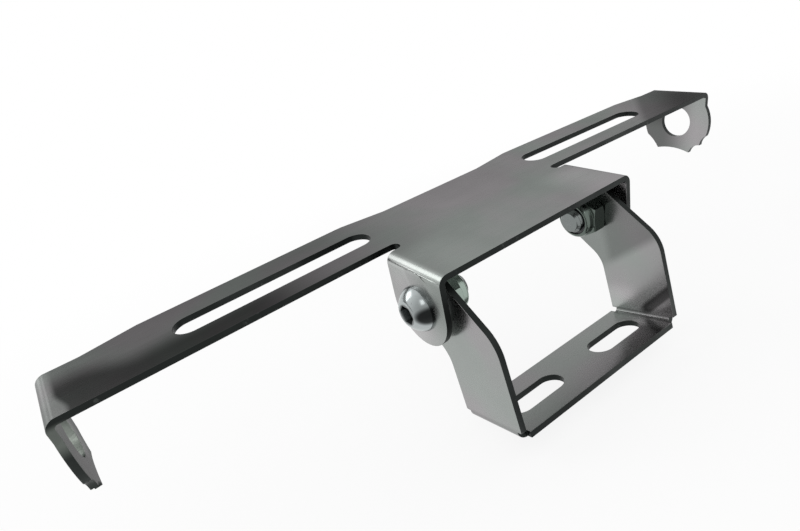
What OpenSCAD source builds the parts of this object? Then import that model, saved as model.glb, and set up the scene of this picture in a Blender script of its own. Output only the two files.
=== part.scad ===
// Adjustable number plate bracket for a motorcycle: a folded upper plate that carries the
// number plate and a turn signal at each end, clamped at two screws to a folded foot.
// Millimetres. X runs along the plate, +Y to the back, +Z up. The origin is the middle of
// the two foot slots on the underside of the foot.

/* [Sheet] */
// Thickness of both folded sheets
sheet_t = 1.5; // [1.2:0.1:2]
// Inner radius of every fold
bend_r = 0.8; // [0.5:0.1:1.2]

/* [Plate bar] */
// Length of the bar over the outer faces of its end tabs
bar_l = 201; // [180:1:240]
// Depth of the bar, front to back, at its middle and ends
bar_w = 18; // [16:0.5:24]
// How much deeper the bar is beside the long slots
bar_swell = 1.9; // [0.5:0.1:4]
// Distance from the middle to the start of each deeper stretch
swell_x = 16; // [8:0.5:20]
// Length over which the back edge slants out to the deeper stretch
swell_run = 12; // [4:0.5:14]
// Distance from the bar's end to the deeper stretch
swell_end = 9; // [6:0.5:14]
// Slight droop of both wings, from where they leave the ears
droop_angle = 1; // [0:0.1:3]

/* [Long slots] */
// Width of the long slots in the bar
long_slot_w = 7.2; // [5:0.1:9]
// Length of each long slot, end to end
long_slot_l = 47.9; // [30:0.1:54]
// Distance between the inner ends of the two long slots
long_slot_gap = 53.2; // [44:0.1:70]
// Distance of the long slots' centre line from the bar's front edge
long_slot_y = 9.3; // [7:0.1:10]

/* [End tabs] */
// Radius of the round end tabs
tab_r = 11.4; // [11:0.1:13]
// Bore in each end tab for the stem of a turn signal
tab_bore = 10; // [6:0.1:12]
// Depth of the tab bore's centre below the top face
tab_drop = 10.3; // [9:0.1:12]
// Distance of the tab bore's centre behind the bar's front edge
tab_y = 9.8; // [9:0.1:11]
// How far each end fold goes past a right angle
tab_lean = 3; // [0:0.5:8]
// Straight stretch of each tab between its fold and its round
tab_neck = 2.5; // [1:0.1:3]

/* [Ears] */
// Width over the outer faces of the two ears
ears_w = 60; // [50:0.5:70]
// Depth of each ear, front to back
ear_d = 18.2; // [17:0.1:24]
// Width of the slit between each ear and the bar
slit_w = 2.9; // [1.5:0.1:4]
// How far each slit runs in from the ear's outer face
slit_l = 4.8; // [3.5:0.1:8]
// Gap between the plate's underside and the round ends of the arms
plate_gap = 0.4; // [0.3:0.1:3]

/* [Foot] */
// Depth of the foot's strip, front to back
foot_d = 17.8; // [16:0.1:20]
// Height of the pivot axis above the foot's underside
pivot_h = 29.5; // [27:0.1:50]
// How far the pivot axis lies behind the foot's centre line
pivot_back = 9.7; // [8:0.1:12]
// Radius of the round end of each arm
arm_end_r = 8.5; // [7.5:0.1:9]
// Angle of the slanting upper stretch of each arm from vertical
slant_angle = 45; // [40:1:50]
// Rounding of the front corner of each arm
arm_round_front = 9; // [1:0.5:12]
// Rounding of the back corner of each arm
arm_round_back = 7; // [1:0.5:10]
// Depth of the relief notches at the ends of the foot's folds
notch_d = 1.2; // [0.5:0.1:2]
// Width of the foot slots
foot_slot_w = 6.5; // [5:0.1:8]
// Length of each foot slot, end to end
foot_slot_l = 16; // [10:0.5:18]
// Distance between the centres of the foot slots
foot_slot_pitch = 27.8; // [26:0.5:29]

/* [Clamp screws] */
// Diameter of the clamp screws
screw_d = 6; // [5:0.5:6]
// Length of the screws under the head
screw_l = 12; // [10:0.5:16]
// Diameter of the domed head
head_d = 10.5; // [9.5:0.1:12]
// Height of the domed head
head_h = 3.3; // [2.8:0.1:4]
// Diameter of the flat on top of the head
head_flat = 5.7; // [5:0.1:7]
// Height of the straight rim under the dome
head_rim = 0.4; // [0.2:0.1:0.8]
// Width across flats of the head's socket
socket_af = 4; // [3:0.5:4]
// Depth of the socket
socket_dp = 2.1; // [1:0.1:2.2]
// Chamfer at the tip of the screws
tip_c = 0.6; // [0.2:0.1:1]
// Radial clearance of the screws in their holes
screw_fit = 0.08; // [0.03:0.01:0.2]
// Diameter of the washer between ear and arm
washer_d = 12; // [10:0.5:14]
// Thickness of the washer between ear and arm
washer_t = 1.6; // [1:0.1:2]

/* [Lock nuts] */
// Width across flats of the lock nuts
nut_af = 10; // [9:0.5:11]
// Height of the nuts' hexagon
nut_hex_h = 4; // [3:0.1:5]
// Height of the round collar on the hexagon
collar_h = 2; // [1.5:0.1:3]
// Wall of the collar round the insert
collar_t = 0.6; // [0.4:0.1:0.8]
// How far the collar stands in from the flats of the hexagon
collar_in = 0.25; // [0.1:0.05:0.4]
// Thickness of the lip rolled over the insert
lip_t = 0.4; // [0.3:0.1:0.5]
// How far the lip covers the insert's rim
lip_w = 0.4; // [0.2:0.1:0.5]
// Play of the insert below the lip
insert_gap = 0.1; // [0.05:0.05:0.3]
// Radial clearance of the insert in the collar and on the screw
insert_fit = 0.03; // [0.02:0.01:0.1]
// How far the chamfers of the hexagon run in from its flats
nut_chamfer = 0.1; // [0.05:0.05:0.4]

/* [Pose] */
// Tilt of the plate at rest, its back edge up
tilt = 11.7; // [-20:0.1:20]

/* [Hidden] */
$fn = 96;
// Overlap between shapes that are joined
e = 0.02;
// Overlap of the webs that round the corners of the outlines
web_lap = 0.4;
// How much an arc's circle is larger than the tangent one, so that it crosses both edges
cross = 0.002;
// Angle by which neighbouring scallops run into each other
scallop_lap = 0.3;

// Radius of the outer side of a fold
bend_o = bend_r + sheet_t;
// Inner and outer half widths of the ears and of the foot's arms
ear_x = ears_w / 2;
ear_in = ear_x - sheet_t;
arm_x = ear_in - washer_t;
arm_in = arm_x - sheet_t;
// The plate is drawn with the pivot axis as its X axis
top_z = arm_end_r + plate_gap + sheet_t;
bar_y = ear_d / 2 + slit_w;
// Each wing droops from the ear's outer face; its length along the slope ends at the fold
droop_x = ear_x;
wing_l = (bar_l / 2 - bend_o - droop_x) / cos(droop_angle);
screw_hole = screw_d + 2 * screw_fit;
// The lock nut's collar and insert
nut_h = nut_hex_h + collar_h;
collar_r = nut_af / 2 - collar_in;
cavity_r = collar_r - collar_t;
mouth_r = cavity_r - lip_w;
insert_t = collar_h - lip_t - insert_gap;
// Scallops along the lower rim of the end tabs: start angle, end angle, depth of the arc
scallops = [[-57, -27, 0.35], [-117, -57, 0.9], [-141, -117, 0.9], [-160, -141, 0.5]];

function dir(a) = [cos(a), sin(a)];

// A slot with round ends along X
module slot_outline(l, w) {
    square([l - w, w], center = true);
    for (s = [-1, 1]) translate([s * (l - w) / 2, 0]) circle(d = w);
}

// The web between a corner at p and its fillet arc; a1 and a2 are the edges' directions
module corner_web(p, a1, a2, r) {
    m = (a1 + a2) / 2;
    h = abs(a1 - a2) / 2;
    c = p + r / sin(h) * dir(m);
    difference() {
        polygon([p - web_lap * dir(m), p + r / tan(h) * dir(a1), c, p + r / tan(h) * dir(a2)]);
        translate(c) circle(r + cross);
    }
}

// A square fold: from a sheet with its top face on z = 0 it turns down
module fold(width) {
    translate([0, width / 2, -bend_o]) rotate([90, 0, 0])
        rotate_extrude(angle = 90) translate([bend_r, 0]) square([sheet_t, width]);
}

// Flat shape of the bar, front edge on y = 0, with the deeper stretches at its back edge
module bar_outline() {
    x4 = bar_l / 2 + sheet_t;
    x3 = bar_l / 2 - swell_end;
    x2 = x3 - swell_run;
    x1 = swell_x + swell_run;
    b = bar_w + bar_swell;
    difference() {
        polygon([[-x4, 0], [x4, 0], [x4, bar_w], [x3, bar_w], [x2, b], [x1, b],
            [swell_x, bar_w], [-swell_x, bar_w],
            [-x1, b], [-x2, b], [-x3, bar_w], [-x4, bar_w]]);
        for (s = [-1, 1]) translate([s * (long_slot_gap + long_slot_l) / 2, long_slot_y])
            slot_outline(long_slot_l, long_slot_w);
    }
}

// Side view of an end tab: x is the distance behind the bar's front edge, y the height
// above the centre of the end fold
module tab_outline() {
    c = [tab_y, bend_o - tab_drop];
    difference() {
        union() {
            translate(c) circle(tab_r);
            translate([0, -tab_neck]) square([bar_w, tab_neck]);
        }
        translate([-tab_r, 0]) square([4 * tab_r, 2 * tab_r]);
        for (s = scallops) tab_scallop(c, s[0] - scallop_lap, s[1] + scallop_lap, s[2]);
        translate(c) circle(d = tab_bore);
    }
}

// One arc cut out of the rim between two angles
module tab_scallop(c, a0, a1, sag) {
    half = tab_r * sin((a1 - a0) / 2);
    r = (half * half + sag * sag) / (2 * sag);
    chord = tab_r * cos((a1 - a0) / 2);
    translate(c + (chord + r - sag) * dir((a0 + a1) / 2)) circle(r);
}

// Front view of the bar's sheet below y = 0: level in the middle, both wings drooping, and
// the end folds with their legs; corner is the sharp outer corner of the right fold
module bar_section() {
    d = [droop_x, 0];
    a1 = 180 - droop_angle;
    a2 = 270 - droop_angle - tab_lean;
    h = (a2 - a1) / 2;
    corner = d - (wing_l + bend_o / tan(h)) * dir(a1);
    inner = corner + sheet_t / sin(h) * dir((a1 + a2) / 2);
    foot = corner + (tab_drop + 2 * tab_r) * dir(a2);
    under = d - sheet_t * [tan(droop_angle / 2), 1];
    half = [d, corner, foot, foot + sheet_t * dir(a2 - 90), inner, under];
    difference() {
        union() {
            polygon(concat(half, [for (i = [5 : -1 : 0]) [-half[i][0], half[i][1]]]));
            for (s = [0, 1]) mirror([s, 0]) corner_web(inner, a1, a2, bend_r);
        }
        for (s = [0, 1]) mirror([s, 0]) corner_web(corner, a1, a2, bend_o);
    }
}

// The folded strip, wider than the bar, from which bar and tabs are cut
module strip() {
    translate([0, bar_w + tab_r, 0]) rotate([90, 0, 0]) linear_extrude(bar_w + 2 * tab_r)
        bar_section();
}

// Space that the bar fills down to the middle of the necks of the tabs
module bar_space() {
    depth = wing_l * sin(droop_angle) + bend_o + tab_neck / 2;
    translate([0, 0, -depth]) linear_extrude(2 * depth) bar_outline();
}

// Space that the right tab fills: its outline, square to the leg, about the fold's centre
module tab_space() {
    translate([droop_x, 0, 0]) rotate([0, droop_angle, 0]) translate([wing_l, 0, -bend_o])
        rotate([0, tab_lean, 0]) translate([bend_r / 2, 0, 0])
            rotate([90, 0, 90]) linear_extrude(2 * bend_o) tab_outline();
}

// The bar with its tabs, front edge on y = 0, level top on z = 0
module bar() {
    intersection() {
        strip();
        union() {
            bar_space();
            for (s = [0, 1]) mirror([s, 0, 0]) tab_space();
        }
    }
}

// Side view of an ear: the tongue with its round end about the pivot
module ear_outline() {
    difference() {
        union() {
            circle(d = ear_d);
            translate([-ear_d / 2, 0]) square([ear_d, top_z - bend_o]);
        }
        circle(d = screw_hole);
    }
}

// The fold and the ear on the right
module ear() {
    translate([ear_x - bend_o, 0, top_z]) fold(ear_d);
    translate([ear_in, 0, 0]) rotate([90, 0, 90]) linear_extrude(sheet_t) ear_outline();
}

// Slit between the right ear and the bar
module slit_outline() {
    translate([ear_x - slit_l + slit_w / 2, bar_y - slit_w / 2]) {
        circle(d = slit_w);
        translate([0, -slit_w / 2]) square([slit_l, slit_w]);
    }
}

// Flat shape of the level strip that carries the ears, up to the bar's front edge
module ear_strip_outline() {
    difference() {
        translate([-ear_x + bend_o, -ear_d / 2])
            square([2 * (ear_x - bend_o), ear_d / 2 + bar_y + slit_w / 2]);
        for (s = [0, 1]) mirror([s, 0]) slit_outline();
    }
}

module upper_plate() {
    color([0.56, 0.56, 0.55]) on_pivot() {
        translate([0, bar_y, top_z]) bar();
        translate([0, 0, top_z - sheet_t]) linear_extrude(sheet_t) ear_strip_outline();
        for (s = [0, 1]) mirror([s, 0, 0]) ear();
    }
}

// Places what is drawn about the pivot axis, at the plate's tilt
module on_pivot() {
    translate([0, pivot_back, pivot_h]) rotate([tilt, 0, 0]) children();
}

// Side view of one arm: x along Y from the foot's centre line, y the height
module arm_outline() {
    r = foot_d / 2;
    p = [pivot_back, pivot_h];
    s = slant_angle;
    q = arm_end_r - cross;
    // Height at which each edge turns from vertical into the slant
    front = pivot_h + (arm_end_r - (r + pivot_back) * cos(s)) / sin(s);
    back = pivot_h - (arm_end_r - (r - pivot_back) * cos(s)) / sin(s);
    difference() {
        union() {
            translate(p) circle(arm_end_r);
            polygon([[-r, bend_o], [r, bend_o], [r, back],
                p + q * dir(-s), p + q * dir(180 - s), [-r, front]]);
            corner_web([r, back], -90, 90 - s, arm_round_back);
        }
        corner_web([-r, front], 90 - s, -90, arm_round_front);
        translate(p) circle(d = screw_hole);
    }
}

// The foot's floor between its folds, with the two slots
module floor_outline() {
    difference() {
        square([2 * (arm_x - bend_o), foot_d], center = true);
        for (s = [-1, 1]) translate([s * foot_slot_pitch / 2, 0])
            slot_outline(foot_slot_l, foot_slot_w);
    }
}

// The block that is cut out at one end of a fold of the foot
module notch_cut(sx, sy) {
    x = arm_x - bend_o / 2 + 1;
    y = foot_d / 2 - notch_d / 2 + 1;
    translate([sx * x, sy * y, bend_o / 2 - 1])
        cube([bend_o + 2, notch_d + 2, bend_o + 2], center = true);
}

module foot_bracket() {
    color([0.6, 0.61, 0.6]) difference() {
        union() {
            linear_extrude(sheet_t) floor_outline();
            for (s = [0, 1]) mirror([s, 0, 0]) {
                mirror([0, 0, 1]) translate([arm_x - bend_o, 0, 0]) fold(foot_d);
                translate([arm_in, 0, 0]) rotate([90, 0, 90])
                    linear_extrude(sheet_t) arm_outline();
            }
        }
        for (sx = [-1, 1], sy = [-1, 1]) notch_cut(sx, sy);
    }
}

// What sits on the pivot axis at one side: drawn along +X, then turned and mirrored
module on_side(side) {
    on_pivot() mirror([side < 0 ? 1 : 0, 0, 0]) children();
}

// The head stands on z = 0; its dome is an arc from the rim to the flat on top
module domed_head() {
    f = head_flat / 2;
    r = head_d / 2;
    zc = (r * r + head_rim * head_rim - f * f - head_h * head_h) / (2 * (head_rim - head_h));
    rotate_extrude() intersection() {
        square([r, head_h]);
        translate([0, zc]) circle(sqrt(f * f + (head_h - zc) * (head_h - zc)));
    }
}

module clamp_screw(side) {
    color([0.72, 0.73, 0.76]) on_side(side) translate([ear_x, 0, 0]) rotate([0, 90, 0]) {
        difference() {
            domed_head();
            translate([0, 0, head_h - socket_dp]) rotate([0, 0, 30])
                cylinder(h = socket_dp + 1, d = socket_af / cos(30), $fn = 6);
        }
        translate([0, 0, -screw_l + tip_c]) cylinder(h = screw_l - tip_c + e, d = screw_d);
        translate([0, 0, -screw_l]) cylinder(h = tip_c, d1 = screw_d - 2 * tip_c, d2 = screw_d);
    }
}

module gap_washer(side) {
    color([0.5, 0.5, 0.5]) on_side(side) translate([arm_x, 0, 0]) rotate([0, 90, 0]) difference() {
        cylinder(h = washer_t, d = washer_d);
        translate([0, 0, -1]) cylinder(h = washer_t + 2, d = screw_hole);
    }
}

// The nut stands on the arm's inner face, its collar towards the middle
module lock_nut(side) {
    color([0.66, 0.68, 0.66]) on_side(side) translate([arm_in, 0, 0]) rotate([0, -90, 0]) difference() {
        union() {
            intersection() {
                cylinder(h = nut_hex_h, d = nut_af / cos(30), $fn = 6);
                chamfer_body(nut_af / cos(30), nut_hex_h);
            }
            translate([0, 0, nut_hex_h - e]) rotate_extrude() collar_section();
        }
        translate([0, 0, -1]) cylinder(h = nut_h + 2, d = screw_hole);
        translate([0, 0, nut_hex_h]) cylinder(h = collar_h - lip_t, r = cavity_r);
        translate([0, 0, nut_hex_h]) cylinder(h = collar_h + 1, r = mouth_r);
    }
}

// The solid of revolution that takes the corners off both faces of the hexagon
module chamfer_body(d, h) {
    r = nut_af / 2 - nut_chamfer;
    k = (d / 2 - r) * tan(30);
    rotate_extrude() polygon([[0, 0], [r, 0], [d / 2, k], [d / 2, h - k], [r, h], [0, h]]);
}

// Half section of the collar, its outer rim rolled over to the lip
module collar_section() {
    rr = collar_t + lip_t;
    square([collar_r, collar_h + e - rr]);
    square([collar_r - rr, collar_h + e]);
    translate([collar_r - rr, collar_h + e - rr]) intersection() {
        circle(rr);
        square(rr);
    }
}

module nut_insert(side) {
    color([0.09, 0.09, 0.1]) on_side(side) translate([arm_in - nut_hex_h, 0, 0]) rotate([0, -90, 0])
        difference() {
            cylinder(h = insert_t, r = cavity_r - insert_fit);
            translate([0, 0, -1]) cylinder(h = insert_t + 2, d = screw_d + 2 * insert_fit);
        }
}

foot_bracket();
upper_plate();
clamp_screw(-1);  // clamp_screw_left
clamp_screw(1);  // clamp_screw_right
gap_washer(-1);  // gap_washer_left
gap_washer(1);  // gap_washer_right
lock_nut(-1);  // lock_nut_left
lock_nut(1);  // lock_nut_right
nut_insert(-1);  // nut_insert_left
nut_insert(1);  // nut_insert_right
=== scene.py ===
"""License plate bracket in zinc-plated steel: its finished pieces, studio and camera.

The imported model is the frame. Each solid gets a finished piece that stands for it, with broken
edges, cut threads and node-based finishes, and every piece rides on the solid's own body.
"""

import logging
import math
from dataclasses import dataclass
from enum import Enum
from typing import Any, ClassVar, TypeAlias

import bmesh
import bpy
from mathutils import Matrix, Vector
from mathutils.bvhtree import BVHTree


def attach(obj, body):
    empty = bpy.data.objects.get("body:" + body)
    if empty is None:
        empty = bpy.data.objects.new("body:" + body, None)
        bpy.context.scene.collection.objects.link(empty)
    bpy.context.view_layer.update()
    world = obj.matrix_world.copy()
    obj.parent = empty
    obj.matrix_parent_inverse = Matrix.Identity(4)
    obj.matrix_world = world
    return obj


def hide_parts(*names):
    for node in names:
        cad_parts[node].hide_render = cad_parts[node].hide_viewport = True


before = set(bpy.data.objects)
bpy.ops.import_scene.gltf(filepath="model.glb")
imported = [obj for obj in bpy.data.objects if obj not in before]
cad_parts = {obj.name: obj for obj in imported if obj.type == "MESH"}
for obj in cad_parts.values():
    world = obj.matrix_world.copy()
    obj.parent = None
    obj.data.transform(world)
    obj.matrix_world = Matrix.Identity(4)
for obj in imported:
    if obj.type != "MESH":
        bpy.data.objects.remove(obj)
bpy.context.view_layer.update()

LOG = logging.getLogger("bracket")
MM = 0.001
Colour: TypeAlias = tuple[float, float, float]
Place: TypeAlias = tuple[float, float, float]
Amount: TypeAlias = "Shade | float"
Link: TypeAlias = bpy.types.NodeSocket
Tint: TypeAlias = Colour | Link
Shape: TypeAlias = bmesh.types.BMesh


def put(name: str, data: bpy.types.ID) -> bpy.types.Object:
    """Puts a new object into the scene."""
    made = bpy.data.objects.new(name, data)
    bpy.context.scene.collection.objects.link(made)
    return made


class Side(Enum):
    """The two sides of the bracket, seen from the front."""

    LEFT = "left"
    RIGHT = "right"


class Body(Enum):
    """The two bodies that the tilt joint parts."""

    FOOT = "foot"
    PLATE = "plate"


@dataclass(frozen=True)
class PivotAxis:
    """The tilt axis: where it lies and how far the plate is tilted at rest.

    Args:
        back: Distance of the axis behind the foot's middle.
        height: Height of the axis above the foot's underside.
        tilt: Tilt of the plate about the axis.
        ear_out: Distance from the middle to an ear's outer face.
    """

    back: float = 9.7 * MM
    height: float = 29.5 * MM
    tilt: float = math.radians(11.7)
    ear_out: float = 30.0 * MM

    def place(self) -> Matrix:
        """Returns the matrix from the plate's own axes, about the pivot, to the frame."""
        return Matrix.Translation((0, self.back, self.height)) @ Matrix.Rotation(self.tilt, 4, "X")

    def on_side(self, side: Side, out: float) -> Matrix:
        """Gives the place of a part that is turned about the pivot axis.

        Args:
            side: The side of the bracket.
            out: Distance from the middle of the bracket.

        Returns:
            The matrix whose +Z points outwards along the axis.
        """
        half_turn = Matrix.Rotation(math.pi if side is Side.LEFT else 0.0, 4, "Z")
        upright = Matrix.Rotation(math.pi / 2, 4, "Y")
        return self.place() @ half_turn @ Matrix.Translation((out, 0, 0)) @ upright


PIVOT = PivotAxis()


class Shade:
    """A number that changes over a surface, worked with Python's own operators."""

    def __init__(self, bench: "Bench", socket: Link) -> None:
        """Wraps one output socket of the bench's tree."""
        self.bench = bench
        self.socket = socket

    def _joined(self, operation: str, first: Amount, second: Amount) -> "Shade":
        """Adds one Math node.

        Args:
            operation: The Math node's operation.
            first: A shade or a plain number.
            second: A shade or a plain number.

        Returns:
            The node's result.
        """
        node = self.bench.node("ShaderNodeMath", {"operation": operation}, {0: first, 1: second})
        return Shade(self.bench, node.outputs[0])

    def __add__(self, other: Amount) -> "Shade":
        """Sum."""
        return self._joined("ADD", self, other)

    def __radd__(self, other: Amount) -> "Shade":
        """Sum with the number first."""
        return self._joined("ADD", other, self)

    def __sub__(self, other: Amount) -> "Shade":
        """Difference."""
        return self._joined("SUBTRACT", self, other)

    def __rsub__(self, other: Amount) -> "Shade":
        """Difference with the number first."""
        return self._joined("SUBTRACT", other, self)

    def __mul__(self, other: Amount) -> "Shade":
        """Product."""
        return self._joined("MULTIPLY", self, other)

    def __rmul__(self, other: Amount) -> "Shade":
        """Product with the number first."""
        return self._joined("MULTIPLY", other, self)

    def __abs__(self) -> "Shade":
        """Size without sign."""
        return self._joined("ABSOLUTE", self, 0.0)

    def at_least(self, least: float) -> "Shade":
        """Returns the larger of the shade and a number."""
        return self._joined("MAXIMUM", self, least)

    def towards(self, other: "Shade", share: "Shade") -> "Shade":
        """Mixes two shades; share 0 gives this one, 1 the other."""
        return self + share * (other - self)

    def ease(self, low: float, high: float) -> "Shade":
        """Steps smoothly from 0 to 1.

        Args:
            low: Value that gives 0; it may be the larger one.
            high: Value that gives 1.

        Returns:
            The step.
        """
        sockets = {"Value": self, "From Min": low, "From Max": high}
        smooth = {"interpolation_type": "SMOOTHSTEP"}
        node = self.bench.node("ShaderNodeMapRange", smooth, sockets)
        return Shade(self.bench, node.outputs["Result"])

    def ease_mm(self, low: float, high: float) -> "Shade":
        """Steps smoothly between two lengths in millimetres."""
        return self.ease(low * MM, high * MM)


class Bench:
    """A node tree under work, with one way to add a node."""

    def __init__(self, tree: bpy.types.NodeTree) -> None:
        """Clears the tree."""
        self.tree = tree
        tree.nodes.clear()

    def node(
        self, kind: str, settings: dict[str, Any], sockets: dict[str | int, Any]
    ) -> bpy.types.Node:
        """Adds a node.

        Args:
            kind: The node's type.
            settings: Its properties, set before anything else.
            sockets: Values or links by input identifier, name or number.

        Returns:
            The new node.
        """
        node = self.tree.nodes.new(kind)
        for key, value in settings.items():
            setattr(node, key, value)
        for key, value in sockets.items():
            socket = self._input(node, key)
            if isinstance(value, Shade):
                value = value.socket
            if isinstance(value, Link):
                self.tree.links.new(value, socket)
            else:
                socket.default_value = value
        return node

    @staticmethod
    def _input(node: bpy.types.Node, key: str | int) -> Link:
        """Finds an input.

        Args:
            node: The node.
            key: The input's identifier, or else its name or number.

        Returns:
            The input socket.
        """
        for socket in node.inputs:
            if socket.identifier == key:
                return socket
        return node.inputs[key]

    def noise(self, at: Link, scale: float, detail: float = 3.0, rough: float = 0.5) -> Shade:
        """Adds a noise.

        Args:
            at: The place vector.
            scale: Features per metre.
            detail: Number of finer layers.
            rough: Weight of the finer layers.

        Returns:
            The noise, about 0.5 on average.
        """
        sockets = {"Vector": at, "Scale": scale, "Detail": detail, "Roughness": rough}
        node = self.node("ShaderNodeTexNoise", {"noise_dimensions": "3D"}, sockets)
        return Shade(self, node.outputs[0])

    def blend(self, share: Amount, first: Tint, second: Tint) -> Link:
        """Mixes two colours.

        Args:
            share: The second colour's share.
            first: A colour or a link.
            second: A colour or a link.

        Returns:
            The mixed colour.
        """
        first = (*first, 1.0) if isinstance(first, tuple) else first
        second = (*second, 1.0) if isinstance(second, tuple) else second
        sockets = {"Factor_Float": share, "A_Color": first, "B_Color": second}
        node = self.node("ShaderNodeMix", {"data_type": "RGBA"}, sockets)
        return next(s for s in node.outputs if s.identifier == "Result_Color")

    def dim(self, colour: Link, amount: Amount) -> Link:
        """Scales a colour by a number."""
        sockets = {"Vector": colour, "Scale": amount}
        return self.node("ShaderNodeVectorMath", {"operation": "SCALE"}, sockets).outputs["Vector"]

    def stretched(self, at: Link, scale: Place, turn: Place = (0.0, 0.0, 0.0)) -> Link:
        """Turns and stretches a place vector."""
        sockets = {"Vector": at, "Scale": scale, "Rotation": turn}
        return self.node("ShaderNodeMapping", {"vector_type": "POINT"}, sockets).outputs["Vector"]


@dataclass
class Spot:
    """A place on a surface: the vector and its three parts, in metres."""

    vector: Link
    x: Shade
    y: Shade
    z: Shade


@dataclass(frozen=True)
class Oval:
    """An oval as seen from the side of the bracket, in millimetres.

    Args:
        y: Its centre's distance behind the axis.
        z: Its centre's height above the axis.
        half_y: Half its width.
        half_z: Half its height.
    """

    y: float
    z: float
    half_y: float
    half_z: float

    def away(self, spot: Spot) -> Shade:
        """Measures how far a place lies from the centre.

        Args:
            spot: The place on the surface.

        Returns:
            The distance squared, where 1 is the oval's rim.
        """
        away_y = (spot.y - self.y * MM) * (1.0 / (self.half_y * MM))
        away_z = (spot.z - self.z * MM) * (1.0 / (self.half_z * MM))
        return away_y * away_y + away_z * away_z


@dataclass(frozen=True)
class Finish:
    """A finish with a node-based material on Object coordinates.

    Args:
        name: The material's name.
        roughness: Mean roughness.
        on_pivot: True where the pattern is laid out in the plate's own axes.
    """

    name: str
    roughness: float
    on_pivot: bool = False
    metallic: ClassVar[float] = 1.0
    rim_gloss: ClassVar[float] = 1.0
    relief: ClassVar[float] = 0.0

    def material(self) -> bpy.types.Material:
        """Gives the finish's material, built once.

        Returns:
            The material.
        """
        made = bpy.data.materials.get(self.name)
        if made is None:
            made = bpy.data.materials.new(self.name)
            made.use_nodes = True
            bench = Bench(made.node_tree)
            self.build(bench, self.spot(bench))
        return made

    def spot(self, bench: Bench) -> Spot:
        """Finds the place on the surface, in the frame's or the plate's own axes.

        Args:
            bench: The tree under work.

        Returns:
            The place.
        """
        at = bench.node("ShaderNodeTexCoord", {}, {}).outputs["Object"]
        if self.on_pivot:
            axis = (0, PIVOT.back, PIVOT.height)
            sockets = {"Vector": at, "Location": axis, "Rotation": (PIVOT.tilt, 0, 0)}
            turned = bench.node("ShaderNodeMapping", {"vector_type": "TEXTURE"}, sockets)
            at = turned.outputs["Vector"]
        parts = bench.node("ShaderNodeSeparateXYZ", {}, {"Vector": at}).outputs
        return Spot(at, *(Shade(bench, part) for part in parts))

    def build(self, bench: Bench, spot: Spot) -> None:
        """Wires the material; each finish has its own."""
        raise NotImplementedError

    def surface(self, bench: Bench, colour: Tint, roughness: Amount, height: Shade) -> None:
        """Adds the shader.

        Args:
            bench: The tree under work.
            colour: Base colour.
            roughness: Roughness, plain or varying.
            height: Relief, from 0 to 1.
        """
        relief = {"Strength": 1.0, "Distance": self.relief, "Height": height}
        bump = bench.node("ShaderNodeBump", {}, relief)
        shader = bench.node(
            "ShaderNodeBsdfPrincipled",
            {},
            {
                "Base Color": colour,
                "Roughness": roughness,
                "Metallic": self.metallic,
                "Specular Tint": (self.rim_gloss, self.rim_gloss, self.rim_gloss, 1.0),
                "Normal": bump.outputs["Normal"],
            },
        )
        bench.node("ShaderNodeOutputMaterial", {}, {"Surface": shader.outputs[0]})


@dataclass(frozen=True)
class ZincFinish(Finish):
    """Bright zinc plating on rolled sheet: clouds, a faint film of colour, rolling lines.

    Args:
        green: The film's greenish tint.
        violet: The film's violet tint.
        clouding: How much the clouds change the tone.
        hairline: How much hairline scratches lighten it.
    """

    green: Colour = (0.95, 1.02, 0.975)
    violet: Colour = (1.018, 0.98, 1.002)
    clouding: float = 0.16
    hairline: float = 0.10
    relief: ClassVar[float] = 0.004 * MM

    def tone(self, spot: Spot) -> Shade:
        """Gives the grey of the plating at a place; each sheet has its own."""
        raise NotImplementedError

    def build(self, bench: Bench, spot: Spot) -> None:
        """Wires clouds, film, rolling lines, hairline scratches and grain.

        Args:
            bench: The tree under work.
            spot: The place on the surface.
        """
        film = bench.noise(spot.vector, 42.0, 2.0).ease(0.36, 0.64)
        cloud = bench.noise(spot.vector, 95.0, 3.0, 0.55)
        rolled = bench.noise(bench.stretched(spot.vector, (30.0, 1400.0, 1400.0)), 1.0, 2.0)
        grain = bench.noise(spot.vector, 2600.0, 2.0)
        scratched = bench.stretched(spot.vector, (60.0, 1900.0, 1900.0), (0.1, 0.2, 0.9))
        hair = bench.noise(scratched, 1.0, 2.0).ease(0.70, 0.76)
        wear = 1.0 + self.clouding * (cloud - 0.5) + 0.06 * (rolled - 0.5)
        wear = wear + 0.05 * (grain - 0.5) + self.hairline * hair
        colour = bench.dim(bench.blend(film, self.green, self.violet), wear * self.tone(spot))
        roughness = self.roughness + 0.10 * (cloud - 0.5) + 0.08 * (rolled - 0.5) - 0.05 * hair
        height = 0.5 * cloud + 0.3 * rolled + 0.2 * grain
        self.surface(bench, colour, roughness, height)


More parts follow.
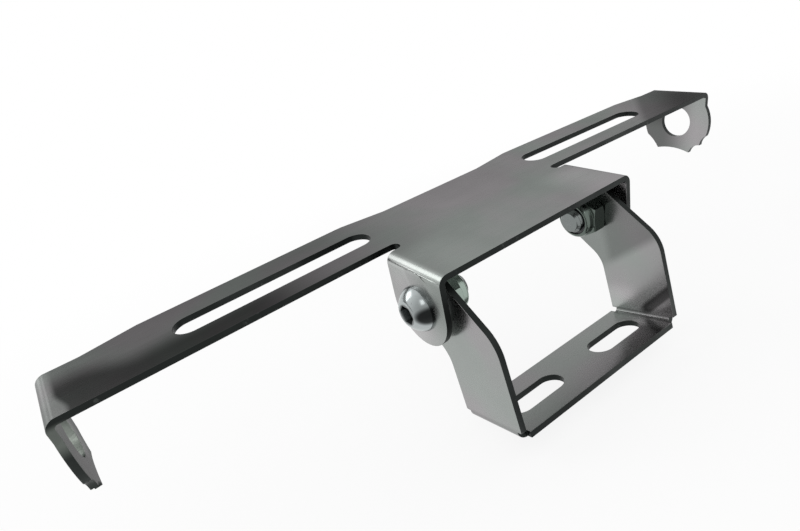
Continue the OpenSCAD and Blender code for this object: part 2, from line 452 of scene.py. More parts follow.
@dataclass(frozen=True)
class PlateZinc(ZincFinish):
    """The upper plate's zinc, with painted reflections: wings darker, folded legs bright.

    Args:
        top: Height of the top face above the pivot axis.
        front: Distance of the bar's front edge behind the pivot axis.
        droop: Slope of the wings.
        lean: How far the end tabs lean in, per length down.
        level: Grey of the top.
        left_wing_painted_shade: Painted shade taken off the left wing.
        left_front_painted_shade: Painted shade taken off along that wing's front.
        right_step_painted_shade: Painted shade taken off beyond the right slot.
        right_painted_shade: Painted shade taken off at the right end.
        right_half_painted_light: Painted light added over the right half.
        front_edge_painted_light: Painted light added towards the front edge.
        corner_painted_light: Painted light added next to the ears.
        bend: Grey of the left end's bend, painted darker where the lamp's highlight falls.
        bend_out_painted_light: Painted light that its outer side has on top.
        ear: Grey of the ears at their front and top.
        right_tab: Grey of the right end tab's outer side.
        left_tab: Grey of the left end tab's outer side, lighter by painted light.
        left_inside_painted_shade: Painted shade taken off its inner side.
        ridge_painted_highlight: Painted highlight added along the ears' bends.
    """

    top: float = 10.4 * MM
    front: float = 12.0 * MM
    droop: float = math.radians(1.0)
    lean: float = 0.052
    level: float = 0.295
    left_wing_painted_shade: float = 0.46
    left_front_painted_shade: float = 0.68
    right_step_painted_shade: float = 0.42
    right_painted_shade: float = 0.72
    right_half_painted_light: float = 0.16
    front_edge_painted_light: float = 0.02
    corner_painted_light: float = 0.22
    bend: float = 0.20
    bend_out_painted_light: float = 0.36
    ear: float = 0.33
    right_tab: float = 0.361
    left_tab: float = 0.56
    left_inside_painted_shade: float = 0.36
    ridge_painted_highlight: float = 0.36
    rim_gloss: ClassVar[float] = 0.35
    tab_painted_light: ClassVar[Oval] = Oval(y=25.0, z=-4.0, half_y=3.5, half_z=4.0)

    def tone(self, spot: Spot) -> Shade:
        """Gives the grey by place along the bar and down the folds, with painted light and shade.

        Args:
            spot: Place in the plate's axes.

        Returns:
            The grey.
        """
        out = abs(spot.x)
        past_ears = (out - PIVOT.ear_out).at_least(0.0)
        depth = self.top - spot.z - math.tan(self.droop) * past_ears
        behind = spot.y - self.front
        face = self.top_tone(spot, behind)
        face = face.towards(self.bend_tone(spot, behind), self.on_bend(spot, behind))
        leg = self.ear_tone(spot).towards(self.tab_tone(spot, depth, behind), out.ease_mm(80, 90))
        down = depth.ease_mm(0.5, 2.2) * out.ease_mm(26.8, 28.3)
        # Painted highlight along the ears' bends.
        ridge = depth.ease_mm(2.4, 1.2) * out.ease_mm(28.0, 28.8) * behind.ease_mm(0.0, -1.5)
        return face.towards(leg, down) * (1.0 + self.ridge_painted_highlight * ridge)

    def top_tone(self, spot: Spot, behind: Shade) -> Shade:
        """Gives the grey of the top face, with painted reflections and light.

        Args:
            spot: Place in the plate's axes.
            behind: Distance behind the bar's front edge.

        Returns:
            The grey.
        """
        edge = behind - 5 * MM * spot.x.ease_mm(-82, -94)
        left_front = spot.x.ease_mm(-38, -60) * (1.0 - edge.ease_mm(3, 12))
        slant = spot.x - 1.2 * behind
        # Painted reflections: darker left wing and right end, lighter right half, front and
        # corners.
        face = self.level * (1.0 - self.left_wing_painted_shade * spot.x.ease_mm(-4, -44))
        face = face * (1.0 - self.left_front_painted_shade * left_front)
        face = face * (1.0 - self.right_step_painted_shade * slant.ease_mm(64, 69))
        face = face * (1.0 - self.right_painted_shade * slant.ease_mm(66, 90))
        right = self.right_half_painted_light * spot.x.ease_mm(0, 50)
        face = face * (1.0 + right + self.front_edge_painted_light * behind.ease_mm(0, -8))
        corner = abs(spot.x).ease_mm(12, 24) * behind.ease_mm(-2, -10)
        return face * (1.0 + self.corner_painted_light * corner)

    def on_bend(self, spot: Spot, behind: Shade) -> Shade:
        """Gives 1 on the left end's bend, which starts further in at the front."""
        return (spot.x - 1.6 * MM * behind.ease_mm(8, 1)).ease_mm(-96.8, -98.2)

    def bend_tone(self, spot: Spot, behind: Shade) -> Shade:
        """Gives the grey of the left end's bend, with painted light outside and towards the back.

        Args:
            spot: Place in the plate's axes.
            behind: Distance behind the bar's front edge.

        Returns:
            The grey.
        """
        light = self.bend + self.bend_out_painted_light * spot.x.ease_mm(-98.8, -99.5)
        return light * (0.76 + 0.16 * behind.ease_mm(0, 9) + 0.20 * behind.ease_mm(9, 18))

    def ear_tone(self, spot: Spot) -> Shade:
        """Gives the grey of the ears, with painted light towards the back and the rounded end."""
        return self.ear + 0.16 * spot.y.ease_mm(-8, 6) + 0.14 * spot.z.ease_mm(2, -7)

    def tab_tone(self, spot: Spot, depth: Shade, behind: Shade) -> Shade:
        """Gives the grey of the end tabs, with painted shade on their inner sides.

        Args:
            spot: Place in the plate's axes.
            depth: Depth below the top face.
            behind: Distance behind the bar's front edge.

        Returns:
            The grey.
        """
        inside = (abs(spot.x) + self.lean * depth).ease_mm(99.8, 99.2) * depth.ease_mm(1.4, 2.2)
        # Painted shade on the tabs' inner sides, deepest just under the bar.
        shaded = behind.ease_mm(2, 15) * (0.2128 + 0.095 * depth.ease_mm(14, 5))
        right = self.right_tab - inside * shaded
        left = self.left_tab - inside * (self.left_inside_painted_shade - 0.15 * self.patch(spot))
        return left.towards(right, spot.x.ease_mm(-1, 1))

    @classmethod
    def patch(cls, spot: Spot) -> Shade:
        """Gives the painted light patch on the inner side of the left end tab."""
        return cls.tab_painted_light.away(spot).ease(2.0, 0.3)


@dataclass(frozen=True)
class FootZinc(ZincFinish):
    """The foot's zinc, with painted reflections and shade: bright arms with bands, a darker floor.

    Args:
        floor: Grey of the floor, darker than the arms by painted shade.
        end_painted_shade: Painted shade taken off at the floor's right end.
        end_painted_light: Painted light given back next to the right fold.
        arm: Grey of the arms.
        band_painted_shade: Painted shade taken off high on the right arm.
        streak_painted_shade: Painted shade taken off in the slanting streak on it.
        low_painted_light: Painted light added behind the streak.
        fold_painted_shade: Painted shade taken off in that arm's fold.
    """

    floor: float = 0.19
    end_painted_shade: float = 0.50
    end_painted_light: float = 0.90
    arm: float = 0.34
    band_painted_shade: float = 0.42
    streak_painted_shade: float = 0.80
    low_painted_light: float = 0.28
    fold_painted_shade: float = 0.30

    def tone(self, spot: Spot) -> Shade:
        """Gives the grey by place along the floor and up the arms, with painted light and shade.

        Args:
            spot: Place in the frame's axes.

        Returns:
            The grey.
        """
        right = spot.x.ease_mm(0, 10)
        # Painted shade in the right arm's fold.
        fold = spot.z.ease_mm(1.53, 1.62) * spot.z.ease_mm(2.8, 2.1)
        both = self.floor_tone(spot).towards(self.arm_tone(spot, right), spot.z.ease_mm(1.2, 3.2))
        return both * (1.0 - self.fold_painted_shade * right * fold)

    def floor_tone(self, spot: Spot) -> Shade:
        """Gives the grey of the floor, with painted shade and light at its right end.

        Args:
            spot: Place in the frame's axes.

        Returns:
            The grey.
        """
        dark_end = (spot.x - 3.0 * spot.y).ease_mm(24, 33) * spot.x.ease_mm(23.5, 19.5)
        light_end = spot.x.ease_mm(20, 22.5) * spot.y.ease_mm(2, -3)
        face = self.floor * (1.0 - self.end_painted_shade * dark_end)
        return face * (1.0 + self.end_painted_light * light_end)

    def arm_tone(self, spot: Spot, right: Shade) -> Shade:
        """Gives the grey of the arms, with painted bands and streaks of reflection on the right
        one.

        Args:
            spot: Place in the frame's axes.
            right: 1 on the right half, 0 on the left.

        Returns:
            The grey.
        """
        band = (spot.z + 0.5 * spot.y).ease_mm(17.2, 20.5) * (1.0 - 0.5 * spot.y.ease_mm(4.5, 8))
        slant = spot.z + 0.81 * spot.y
        streak = slant.ease_mm(4.6, 3.0) * (0.45 + 0.55 * slant.ease_mm(0, 1))
        streak = streak * spot.y.ease_mm(1.0, -1.5)
        low = spot.z.ease_mm(11, 6) * spot.y.ease_mm(-2, 3)
        face = self.arm * (1.0 - self.band_painted_shade * right * band)
        face = face * (1.0 - self.streak_painted_shade * right * streak)
        return face * (1.0 + self.low_painted_light * right * low)


@dataclass(frozen=True)
class CutEdgeFinish(Finish):
    """Sheared edges and punched walls: dark, with a bright burnished streak here and there.

    Args:
        dark: Colour of the torn steel.
        bright: Colour of the burnished flecks.
        painted_light_colour: Colour of painted light on a wall.
    """

    dark: Colour = (0.020, 0.023, 0.022)
    bright: Colour = (0.10, 0.11, 0.105)
    painted_light_colour: Colour = (0.29, 0.32, 0.29)
    relief: ClassVar[float] = 0.008 * MM

    def lit(self, spot: Spot) -> Amount:
        """Gives the share of painted light on the walls; none here."""
        return 0.0

    def build(self, bench: Bench, spot: Spot) -> None:
        """Wires the shear streaks across the sheet and a few bright flecks.

        Args:
            bench: The tree under work.
            spot: The place on the surface.
        """
        streaks = bench.noise(bench.stretched(spot.vector, (2200.0, 2200.0, 300.0)), 1.0, 3.0)
        fleck = bench.noise(spot.vector, 520.0, 4.0, 0.65).ease(0.62, 0.72)
        burnish = bench.noise(spot.vector, 60.0, 2.0).ease(0.5, 0.75)
        colour = bench.blend(0.35 * fleck + 0.25 * burnish, self.dark, self.bright)
        # Painted light on some walls.
        colour = bench.blend(self.lit(spot), colour, self.painted_light_colour)
        roughness = self.roughness + 0.2 * (streaks - 0.5)
        self.surface(bench, colour, roughness, 0.6 * streaks + 0.4 * fleck)


@dataclass(frozen=True)
class PlateCut(CutEdgeFinish):
    """The upper plate's cut walls, with painted light on the left tab's rim and bore.

    Args:
        rim_painted_light: Share of painted light on the rim.
        bore_painted_light: Share of painted light in the bore.
    """

    rim_painted_light: float = 0.36
    bore_painted_light: float = 0.90

    def lit(self, spot: Spot) -> Shade:
        """Gives the share of painted light on the left tab's walls.

        Args:
            spot: Place in the plate's axes.

        Returns:
            The share.
        """
        at_tab = spot.x.ease_mm(-96, -98)
        rim = spot.z.ease_mm(1, 4) * spot.z.ease_mm(8.4, 6.8)
        return at_tab * (self.rim_painted_light * rim + self.bore_painted_light * PlateZinc.patch(spot))


@dataclass(frozen=True)
class TurnedFinish(Finish):
    """Plated steel of a turned or pressed fastener: fine rings of tool marks and small dints.

    Args:
        colour: Colour of the steel.
        film: What the faint film multiplies it by.
        recess: Colour in the grain and dints.
        marks: Strength of the tool marks.
    """

    colour: Colour = (0.33, 0.34, 0.34)
    film: Colour = (0.93, 1.0, 0.96)
    recess: Colour = (0.30, 0.32, 0.32)
    marks: float = 0.35
    relief: ClassVar[float] = 0.003 * MM

    def shading(self, spot: Spot) -> Amount:
        """Gives what the colour is multiplied by at a place."""
        return 1.0

    def build(self, bench: Bench, spot: Spot) -> None:
        """Wires rings about the pivot axis, dints and a faint film.

        Args:
            bench: The tree under work.
            spot: The place on the surface.
        """
        rings = bench.noise(bench.stretched(spot.vector, (3200.0, 500.0, 500.0)), 1.0, 2.0)
        dints = bench.noise(spot.vector, 900.0, 3.0, 0.6).ease(0.60, 0.74)
        filmed = tuple(steel * film for steel, film in zip(self.colour, self.film))
        tinted = bench.blend(bench.noise(spot.vector, 160.0, 2.0), self.colour, filmed)
        colour = bench.blend(0.5 * dints + self.marks * 0.3 * rings, tinted, self.recess)
        colour = bench.dim(colour, self.shading(spot))
        roughness = self.roughness + 0.12 * (rings - 0.5) + 0.15 * dints
        self.surface(bench, colour, roughness, 0.7 * rings + 0.3 * dints)


@dataclass(frozen=True)
class HeadFinish(TurnedFinish):
    """A screw head's plating: painted shade on the dome and in the socket, a painted dark
    reflection.

    Args:
        front_painted_shade: Painted shade taken off at the front of the dome.
        patch_painted_reflection: Painted dark reflection taken off in its darkest patch.
        socket_painted_shade: Painted shade taken off in the socket.
    """

    front_painted_shade: float = 0.45
    patch_painted_reflection: float = 0.93
    socket_painted_shade: float = 0.68
    painted_reflection_oval: ClassVar[Oval] = Oval(y=-5.0, z=0.4, half_y=2.0, half_z=1.9)
    one_mm_round: ClassVar[Oval] = Oval(y=0.0, z=0.0, half_y=1.0, half_z=1.0)

    def shading(self, spot: Spot) -> Shade:
        """Gives the painted shade on the dome's front, its painted dark reflection and the
        socket's shade.

        Args:
            spot: Place in the plate's axes.

        Returns:
            What the colour is multiplied by.
        """
        # Painted shade on the dome's front, a painted dark reflection and painted shade in the
        # socket.
        front = spot.y.ease_mm(-1.0, -3.8) * spot.z.ease_mm(-1.2, 0.6)
        patch = self.painted_reflection_oval.away(spot).ease(1.7, 0.4)
        socket = self.one_mm_round.away(spot).ease(7.0, 5.2)
        share = (1.0 - self.front_painted_shade * front) * (1.0 - self.patch_painted_reflection * patch)
        return share * (1.0 - self.socket_painted_shade * socket)


@dataclass(frozen=True)
class NutFinish(TurnedFinish):
    """A lock nut's plating, with painted shade that makes the right one darker.

    Args:
        right_painted_shade: Painted shade taken off the right nut.
    """

    right_painted_shade: float = 0.62

    def shading(self, spot: Spot) -> Shade:
        """Gives the painted shade on the right nut."""
        return 1.0 - self.right_painted_shade * spot.x.ease_mm(-5, 5)


@dataclass(frozen=True)
class NylonFinish(Finish):
    """Dark nylon of the lock nuts' rings: satin, with a fine moulded grain.

    Args:
        colour: Colour of the nylon.
        worn: Colour where it is rubbed.
    """

    colour: Colour = (0.030, 0.031, 0.034)
    worn: Colour = (0.085, 0.088, 0.092)
    relief: ClassVar[float] = 0.01 * MM
    metallic: ClassVar[float] = 0.0

    def build(self, bench: Bench, spot: Spot) -> None:
        """Wires the moulded grain and lighter rubbed spots.

        Args:
            bench: The tree under work.
            spot: The place on the surface.
        """
        grain = bench.noise(spot.vector, 1800.0, 3.0, 0.6)
        rubbed = bench.noise(spot.vector, 420.0, 2.0).ease(0.52, 0.70)
        colour = bench.blend(rubbed, self.colour, self.worn)
        self.surface(bench, colour, self.roughness + 0.2 * (grain - 0.5), grain)


class Finishes:
    """The bracket's finishes, one of each."""

    plate = PlateZinc("plate_zinc_plating", 0.27, True)
    foot = FootZinc("foot_zinc_plating", 0.26)
    foot_cut = CutEdgeFinish("sheared_edge_steel", 0.38)
    plate_cut = PlateCut("plate_edge_steel", 0.38, True)
    screw = HeadFinish("screw_head_plating", 0.21, True, colour=(0.45, 0.47, 0.48))
    thread = TurnedFinish("screw_thread_plating", 0.26, True, colour=(0.21, 0.22, 0.22), marks=0.6)
    nut = NutFinish("lock_nut_plating", 0.22, True, colour=(0.35, 0.41, 0.37))
    washer = TurnedFinish("gap_washer_plating", 0.28, True, marks=0.5)
    nylon = NylonFinish("dark_nylon", 0.45)


@dataclass
class Piece:
    """A finished piece that stands for a solid of the frame.

    Args:
        node: Name of the solid that it stands for.
        name: The piece's own name.
        body: The body that it rides on.
        slot: The record's material slot; not used.
    """

    node: str
    name: str
    body: Body
    slot: str

    def make(self) -> bpy.types.Object:
        """Builds and dresses the piece; each kind has its own way."""
        raise NotImplementedError

    def copy_of_solid(self, merge: float = 0.02 * MM) -> Shape:
        """Copies the solid's mesh.

        Args:
            merge: Distance under which corners become one.

        Returns:
            The merged copy.
        """
        shape = bmesh.new()
        shape.from_mesh(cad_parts[self.node].data)
        bmesh.ops.remove_doubles(shape, verts=shape.verts, dist=merge)
        return shape

    @staticmethod
    def merge_flats(shape: Shape, keep_apart: tuple[str, ...] = ()) -> None:
        """Joins the triangles of each flat face.

        Args:
            shape: The mesh.
            keep_apart: What else parts two faces, such as MATERIAL.
        """
        bmesh.ops.dissolve_limit(
            shape,
            angle_limit=math.radians(0.3),
            use_dissolve_boundaries=False,
            verts=shape.verts,
            edges=shape.edges,
            delimit=set(keep_apart),
        )

    @staticmethod
    def round_edges(shape: Shape, corner: float, width: float, segments: int, clamp: bool) -> None:
        """Rounds the sharp edges of a mesh.

        Args:
            shape: The mesh.
            corner: Angle in degrees over which an edge is sharp.
            width: Width of the rounding.
            segments: Number of its faces.
            clamp: True stops the rounding where edges meet.
        """
        sharp = [e for e in shape.edges if e.calc_face_angle(0.0) > math.radians(corner)]
        bmesh.ops.bevel(
            shape,
            geom=sharp,
            offset=width,
            offset_type="OFFSET",
            segments=segments,
            profile=0.5,
            material=-1,
            affect="EDGES",
            clamp_overlap=clamp,
        )

    @staticmethod
    def soften(made: bpy.types.Object, corner: float, width: float, clamp: bool) -> None:
        """Adds a bevel to the sharp edges of a finished piece.

        Args:
            made: The piece's object.
            corner: Angle in degrees over which an edge is sharp.
            width: Width of the bevel.
            clamp: True stops the bevel where edges meet.
        """
        rim = made.modifiers.new("broken edges", "BEVEL")
        rim.limit_method = "ANGLE"
        rim.angle_limit = math.radians(corner)
        rim.width = width
        rim.segments = 2
        rim.profile = 0.5
        rim.material = -1
        rim.use_clamp_overlap = clamp
        rim.harden_normals = True

    def placed(self, shape: Shape, finishes: list[Finish]) -> bpy.types.Object:
        """Makes the object, dresses it and lets it ride in the solid's place.

        Args:
            shape: The finished mesh, which is used up.
            finishes: The finishes, by the faces' material number.

        Returns:
            The new object.
        """
        mesh = bpy.data.meshes.new(self.name)
        shape.to_mesh(mesh)
        shape.free()
        for finish in finishes:
            mesh.materials.append(finish.material())
        mesh.shade_smooth()
        mesh.set_sharp_from_angle(angle=math.radians(32.0))
        made = put(self.name, mesh)
        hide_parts(self.node)
        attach(made, self.body.value)
        LOG.info("%s: %d faces, rides on %s", self.name, len(mesh.polygons), self.body.value)
        return made


@dataclass
class FoldedSheet(Piece):
    """A folded sheet with broken edges, its cut walls dressed apart from its faces.

    Args:
        face: Finish of the sheet's faces.
        cut: Finish of the cut walls.
        gauge: Thickness of the sheet.
        edge_break: Width of the broken edges.
    """

    face: Finish = Finishes.plate
    cut: Finish = Finishes.plate_cut
    gauge: float = 1.5 * MM
    edge_break: float = 0.11 * MM

    def mark_cut_walls(self, shape: Shape) -> None:
        """Gives the cut walls the second finish.

        Args:
            shape: The sheet's mesh.
        """
        # Behind a cut wall the metal is far thicker than the sheet.
        thick = 1.25 * self.gauge
        skin = 0.001 * MM
        tree = BVHTree.FromBMesh(shape)
        for wall in shape.faces:
            inward = -wall.normal
            hit = tree.ray_cast(wall.calc_center_median() + inward * skin, inward, 1.0)
            wall.material_index = 1 if hit[3] is None or hit[3] > thick else 0

    def make(self) -> bpy.types.Object:
        """Builds and dresses the sheet.

        Returns:
            The new object.
        """
        shape = self.copy_of_solid(merge=0.06 * MM)
        shape.normal_update()
        self.mark_cut_walls(shape)
        self.merge_flats(shape, keep_apart=("MATERIAL",))
        made = self.placed(shape, [self.face, self.cut])
        self.soften(made, corner=32, width=self.edge_break, clamp=False)
        return made


@dataclass
class ClampScrew(Piece):
    """A button-head socket screw: the pressed head of the solid, and a cut thread.

    Args:
        side: The side of the bracket.
        out: Distance from the middle to the seat of the head.
        length: Length under the head.
        thread_r: Outer radius of the thread.
        root_r: Radius at the thread's root.
        pitch: Pitch of the thread.
        crest: Share of the pitch that the flat crest takes.
        flank: Share of the pitch that each flank takes.
        tip: Length of the chamfer at the tip.
        into_head: How far the thread runs on into the head.
        head_rim: Rounding of the head's edges.
        steps: Steps of one turn.
    """

    side: Side = Side.LEFT
    out: float = PIVOT.ear_out
    length: float = 12 * MM
    thread_r: float = 2.985 * MM
    root_r: float = 2.42 * MM
    pitch: float = 1.0 * MM
    crest: float = 0.125
    flank: float = 0.3125
    tip: float = 0.6 * MM
    into_head: float = 0.4 * MM
    head_rim: float = 0.09 * MM
    steps: int = 48

    @staticmethod
    def cut_square(shape: Shape, height: float, keep: int, snap: float) -> None:
        """Cuts a shape square to the axis and closes the cut.

        Args:
            shape: The mesh, with the axis along Z.
            height: Height of the cut.
            keep: 1 keeps what is above the cut, -1 what is below.
            snap: Distance within which a corner counts as on the cut.
        """
        cut = bmesh.ops.bisect_plane(
            shape,
            geom=[*shape.verts, *shape.edges, *shape.faces],
            dist=snap,
            plane_co=(0, 0, height),
            plane_no=(0, 0, keep),
            clear_inner=True,
        )
        rim = [part for part in cut["geom_cut"] if isinstance(part, bmesh.types.BMEdge)]
        bmesh.ops.holes_fill(shape, edges=rim, sides=0)

    def head(self) -> Shape:
        """Cuts the head off the solid and rounds its rims.

        Returns:
            The head, its seat on the origin.
        """
        shape = self.copy_of_solid()
        seat = PIVOT.on_side(self.side, self.out)
        bmesh.ops.transform(shape, matrix=seat.inverted(), verts=shape.verts)
        self.cut_square(shape, height=-0.05 * MM, keep=1, snap=1e-7)
        self.merge_flats(shape)
        self.round_edges(shape, corner=35, width=self.head_rim, segments=2, clamp=True)
        return shape

    def thread(self) -> Shape:
        """Spins one line of teeth into a helix and cuts it to length.

        Returns:
            The threaded shank, the head's seat on the origin.
        """
        shape = bmesh.new()
        teeth = (
            (0.0, self.thread_r),
            (self.crest, self.thread_r),
            (self.crest + self.flank, self.root_r),
            (1.0 - self.flank, self.root_r),
        )
        # The helix starts two turns too low, ends one too high and is cut at both ends.
        turns = round(self.length / self.pitch) + 3
        line = [
            shape.verts.new((radius, 0, (turn + part) * self.pitch))
            for turn in range(turns)
            for part, radius in teeth
        ]
        edges = [shape.edges.new(pair) for pair in zip(line, line[1:])]
        bmesh.ops.spin(
            shape,
            geom=[*line, *edges],
            axis=(0, 0, 1),
            dvec=(0, 0, self.pitch / self.steps),
            angle=math.tau,
            steps=self.steps,
            use_merge=False,
        )
        bmesh.ops.remove_doubles(shape, verts=shape.verts, dist=1e-7)
        bmesh.ops.translate(shape, vec=(0, 0, -self.length - 2 * self.pitch), verts=shape.verts)
        self.cut_square(shape, height=-self.length, keep=1, snap=1e-8)
        self.cut_square(shape, height=self.into_head, keep=-1, snap=1e-8)
        self.chamfer_tip(shape)
        for wall in shape.faces:
            wall.material_index = 1
        bmesh.ops.recalc_face_normals(shape, faces=shape.faces)
        return shape

    def chamfer_tip(self, shape: Shape) -> None:
        """Draws the corners at the tip in to a cone.

        Args:
            shape: The threaded shank.
        """
        for corner in shape.verts:
            reach = corner.co.xy.length
            limit = self.thread_r - max(0.0, self.tip - (corner.co.z + self.length))
            if reach > limit:
                corner.co.x *= limit / reach
                corner.co.y *= limit / reach

    def make(self) -> bpy.types.Object:
        """Joins head and thread into one screw.

        Returns:
            The new object.
        """
        shape = self.head()
        thread = self.thread()
        spare = bpy.data.meshes.new("thread")
        thread.to_mesh(spare)
        thread.free()
        shape.from_mesh(spare)
        bpy.data.meshes.remove(spare)
        bmesh.ops.transform(shape, matrix=PIVOT.on_side(self.side, self.out), verts=shape.verts)
        return self.placed(shape, [Finishes.screw, Finishes.thread])


@dataclass
class TurnedRing(Piece):
    """A ring about the pivot axis with rounded rims: a washer or a nut's insert.

    Args:
        side: The side of the bracket.
        out: Distance from the middle to the ring's inner face.
        thickness: Thickness of the ring.
        outer: Outer radius.
        bore: Radius of the bore.
        rim: Rounding of the rims.
        finish: The ring's finish.
        steps: Steps of the spin.
    """

    side: Side = Side.LEFT
    out: float = 26.9 * MM
    thickness: float = 1.6 * MM
    outer: float = 6.0 * MM
    bore: float = 3.08 * MM
    rim: float = 0.18 * MM
    finish: Finish = Finishes.washer
    steps: int = 72

    def make(self) -> bpy.types.Object:
        """Spins the ring's section about the axis and rounds its rims.

        Returns:
            The new object.
        """
        shape = bmesh.new()
        top = self.thickness
        corners = ((self.bore, 0), (self.outer, 0), (self.outer, top), (self.bore, top))
        section = [shape.verts.new((reach, 0, height)) for reach, height in corners]
        sides = [shape.edges.new(pair) for pair in zip(section, section[1:] + section[:1])]
        bmesh.ops.spin(
            shape,
            geom=[*section, *sides],
            axis=(0, 0, 1),
            angle=math.tau,
            steps=self.steps,
            use_merge=True,
        )
        bmesh.ops.recalc_face_normals(shape, faces=shape.faces)
        self.round_edges(shape, corner=60, width=self.rim, segments=3, clamp=False)
        bmesh.ops.transform(shape, matrix=PIVOT.on_side(self.side, self.out), verts=shape.verts)
        bmesh.ops.recalc_face_normals(shape, faces=shape.faces)
        return self.placed(shape, [self.finish])


@dataclass
class LockNut(Piece):
    """A lock nut with its rolled collar, the corners of its hexagon softened.

    Args:
        edge_break: Width of the softened corners.
    """

    edge_break: float = 0.07 * MM

    def make(self) -> bpy.types.Object:
        """Softens the edges of the solid's own shape.

        Returns:
            The new object.
        """
        shape = self.copy_of_solid()
        self.merge_flats(shape)
        made = self.placed(shape, [Finishes.nut])
        self.soften(made, corner=50, width=self.edge_break, clamp=True)
        return made


@dataclass
class Fasteners:
    """What sits on the pivot axis at one side: screw, washer, lock nut and its insert.

    Args:
        side: The side of the bracket.
        arm_out: Distance from the middle to the arm's outer face.
        arm_in: Distance from the middle to the arm's inner face.
        hexagon: Height of the nut's hexagon.
        insert: Thickness of the nut's insert.
        insert_outer: Outer radius of the insert.
        insert_bore: Radius of its bore.
        insert_rim: Rounding of its rims.
    """

    side: Side
    arm_out: float = 26.9 * MM
    arm_in: float = 25.4 * MM
    hexagon: float = 4.0 * MM
    insert: float = 1.5 * MM
    insert_outer: float = 4.12 * MM
    insert_bore: float = 3.03 * MM
    insert_rim: float = 0.12 * MM

    def named(self, node: str, name: str, slot: str) -> tuple[str, str, Body, str]:
        """Gives what every piece of this side starts with."""
        return f"{node}_{self.side.value}", f"{name}_{self.side.value}", Body.PLATE, slot

    def build(self) -> None:
        """Makes the four pieces."""
        screw = ClampScrew(*self.named("clamp_screw", "socket_screw", "screw_steel"), self.side)
        washer = TurnedRing(
            *self.named("gap_washer", "washer", "washer_steel"), self.side, self.arm_out
        )
        nut = LockNut(*self.named("lock_nut", "collared_nut", "nut_steel"))
        insert = TurnedRing(
            *self.named("nut_insert", "insert", "insert_nylon"),
            self.side,
            out=self.arm_in - self.hexagon - self.insert,
            thickness=self.insert,
            outer=self.insert_outer,
            bore=self.insert_bore,
            rim=self.insert_rim,
            finish=Finishes.nylon,
        )
        for piece in (screw, washer, nut, insert):
            piece.make()


@dataclass(frozen=True)
class Softbox:
    """A square soft lamp that faces the bracket.

    Args:
        name: The lamp's name.
        at: Where it hangs.
        size: Length of its sides.
        watts: Its power.
        aim: The point that it faces.
    """

    name: str
    at: Place
    size: float
    watts: float
    aim: Place = (0.0, 0.01, 0.03)

    def hang(self) -> None:
        """Adds the lamp to the scene."""
        data = bpy.data.lights.new(self.name, "AREA")
        data.shape = "SQUARE"
        data.size = self.size
        data.energy = self.watts
        made = put(self.name, data)
        made.location = self.at
        down = Vector(self.aim) - Vector(self.at)
        made.rotation_euler = down.to_track_quat("-Z", "Y").to_euler()


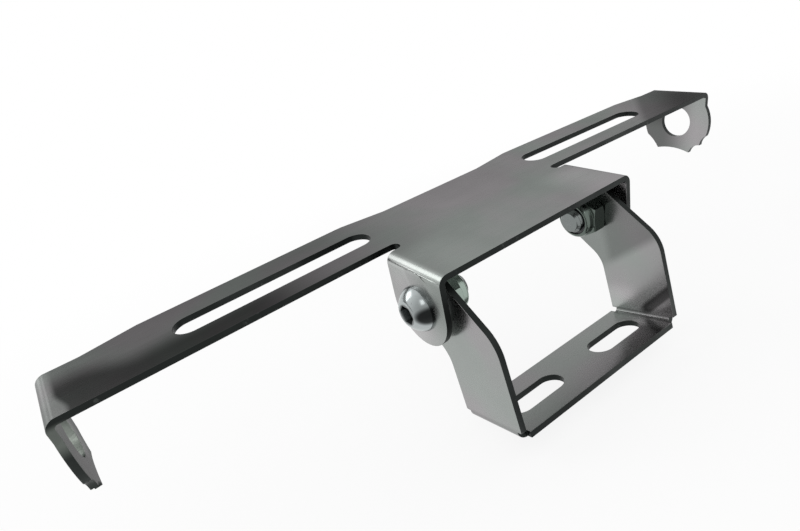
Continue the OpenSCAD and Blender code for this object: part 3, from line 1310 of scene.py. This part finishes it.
@dataclass
class Studio:
    """A plain pale floor, a white surround and soft lamps.

    Args:
        floor_half: Half the floor's width.
        floor_drop: How far it lies under the foot, clear of the plate tilted back.
        floor_tone: Grey of the floor.
        floor_glow: Share of plain white seen in the floor under the bracket.
        shadow_reach: Distance up to which that share holds.
        white_reach: Distance from which the floor is plain white.
        sky_diffuse: Strength of the surround on matt surfaces.
        softboxes: The lamps.
    """

    floor_half: float = 6.0
    floor_drop: float = 5 * MM
    floor_tone: float = 0.86
    floor_glow: float = 0.86
    shadow_reach: float = 0.16
    white_reach: float = 0.45
    sky_diffuse: float = 0.85
    softboxes: tuple[Softbox, ...] = (
        Softbox("bend_softbox", at=(-0.41, 0.52, 0.62), size=0.42, watts=1.20),
        Softbox("front_softbox", at=(-0.42, -0.60, 0.56), size=0.32, watts=0.75),
    )

    @staticmethod
    def seen(bench: Bench) -> Shade:
        """Tells the rays that see the white surround and floor.

        Args:
            bench: The tree under work.

        Returns:
            1 for rays from the camera, from gloss and through glass.
        """
        path = bench.node("ShaderNodeLightPath", {}, {}).outputs
        seen = Shade(bench, path["Is Camera Ray"])
        seen = seen + Shade(bench, path["Is Glossy Ray"])
        return seen + Shade(bench, path["Is Transmission Ray"])

    def floor(self) -> None:
        """Lays the floor, which keeps the bracket's shadow."""
        shape = bmesh.new()
        bmesh.ops.create_grid(shape, x_segments=1, y_segments=1, size=self.floor_half)
        bmesh.ops.translate(shape, vec=(0, 0, -self.floor_drop), verts=shape.verts)
        mesh = bpy.data.meshes.new("floor")
        shape.to_mesh(mesh)
        shape.free()
        made = put("floor", mesh)
        mesh.materials.append(self.floor_paint())

    def floor_paint(self) -> bpy.types.Material:
        """Mixes the floor's pale paint, plain white away from the bracket.

        Returns:
            The material.
        """
        paint = bpy.data.materials.new("pale_floor")
        paint.use_nodes = True
        bench = Bench(paint.node_tree)
        grey = (self.floor_tone, self.floor_tone, self.floor_tone, 1.0)
        matt = bench.node("ShaderNodeBsdfDiffuse", {}, {"Color": grey})
        white = bench.node("ShaderNodeEmission", {}, {"Color": (1, 1, 1, 1), "Strength": 1.0})
        at = bench.node("ShaderNodeTexCoord", {}, {}).outputs["Object"]
        length = bench.node("ShaderNodeVectorMath", {"operation": "LENGTH"}, {"Vector": at})
        reach = Shade(bench, length.outputs["Value"]).ease(self.shadow_reach, self.white_reach)
        glow = self.floor_glow + (1.0 - self.floor_glow) * reach
        shaders = {0: self.seen(bench) * glow, 1: matt.outputs[0], 2: white.outputs[0]}
        both = bench.node("ShaderNodeMixShader", {}, shaders)
        bench.node("ShaderNodeOutputMaterial", {}, {"Surface": both.outputs[0]})
        return paint

    def surround(self) -> None:
        """Makes the surround white where it is seen, and softer on matt surfaces."""
        world = bpy.data.worlds.new("studio")
        world.use_nodes = True
        bpy.context.scene.world = world
        bench = Bench(world.node_tree)
        strength = self.sky_diffuse + (1.0 - self.sky_diffuse) * self.seen(bench)
        white = {"Color": (1, 1, 1, 1), "Strength": strength}
        sky = bench.node("ShaderNodeBackground", {}, white)
        bench.node("ShaderNodeOutputWorld", {}, {"Surface": sky.outputs[0]})

    def build(self) -> None:
        """Sets up floor, surround and lamps."""
        self.floor()
        self.surround()
        for softbox in self.softboxes:
            softbox.hang()
        LOG.info("studio: floor, surround and %d softboxes", len(self.softboxes))


@dataclass
class PhotoCamera:
    """The camera at the photograph's viewpoint.

    Args:
        eye: Its place.
        right: The picture's right.
        up: The picture's up.
        lens_mm: Focal length.
        sensor_mm: Width of the sensor.
        near: Nearest that it sees.
        far: Furthest that it sees.
    """

    eye: Place = (-0.085236, -0.093439, 0.075347)
    right: Place = (0.7946, -0.5233, -0.3078)
    up: Place = (0.4125, 0.0934, 0.9061)
    lens_mm: float = 26.434
    sensor_mm: float = 36.0
    near: float = 0.005
    far: float = 50.0

    def build(self) -> None:
        """Sets up the scene's camera."""
        data = bpy.data.cameras.new("photo_camera")
        data.sensor_width = self.sensor_mm
        data.lens = self.lens_mm
        data.clip_start = self.near
        data.clip_end = self.far
        right = Vector(self.right).normalized()
        up = Vector(self.up)
        up = (up - right * up.dot(right)).normalized()
        turn = Matrix((right, up, right.cross(up))).transposed().to_4x4()
        made = put("photo_camera", data)
        made.matrix_world = Matrix.Translation(self.eye) @ turn
        bpy.context.scene.camera = made
        LOG.info("camera: %.2f mm lens", self.lens_mm)


def main() -> None:
    """Builds the camera, the bracket's pieces and the studio."""
    logging.basicConfig(level=logging.INFO, format="%(name)s %(message)s")
    bpy.context.scene.view_settings.view_transform = "Standard"
    PhotoCamera().build()
    FoldedSheet("upper_plate", "folded_plate", Body.PLATE, "plate_zinc").make()
    FoldedSheet(
        "foot_bracket", "folded_foot", Body.FOOT, "foot_zinc", Finishes.foot, Finishes.foot_cut
    ).make()
    for side in Side:
        Fasteners(side).build()
    Studio().build()


if __name__ == "__main__":
    main()
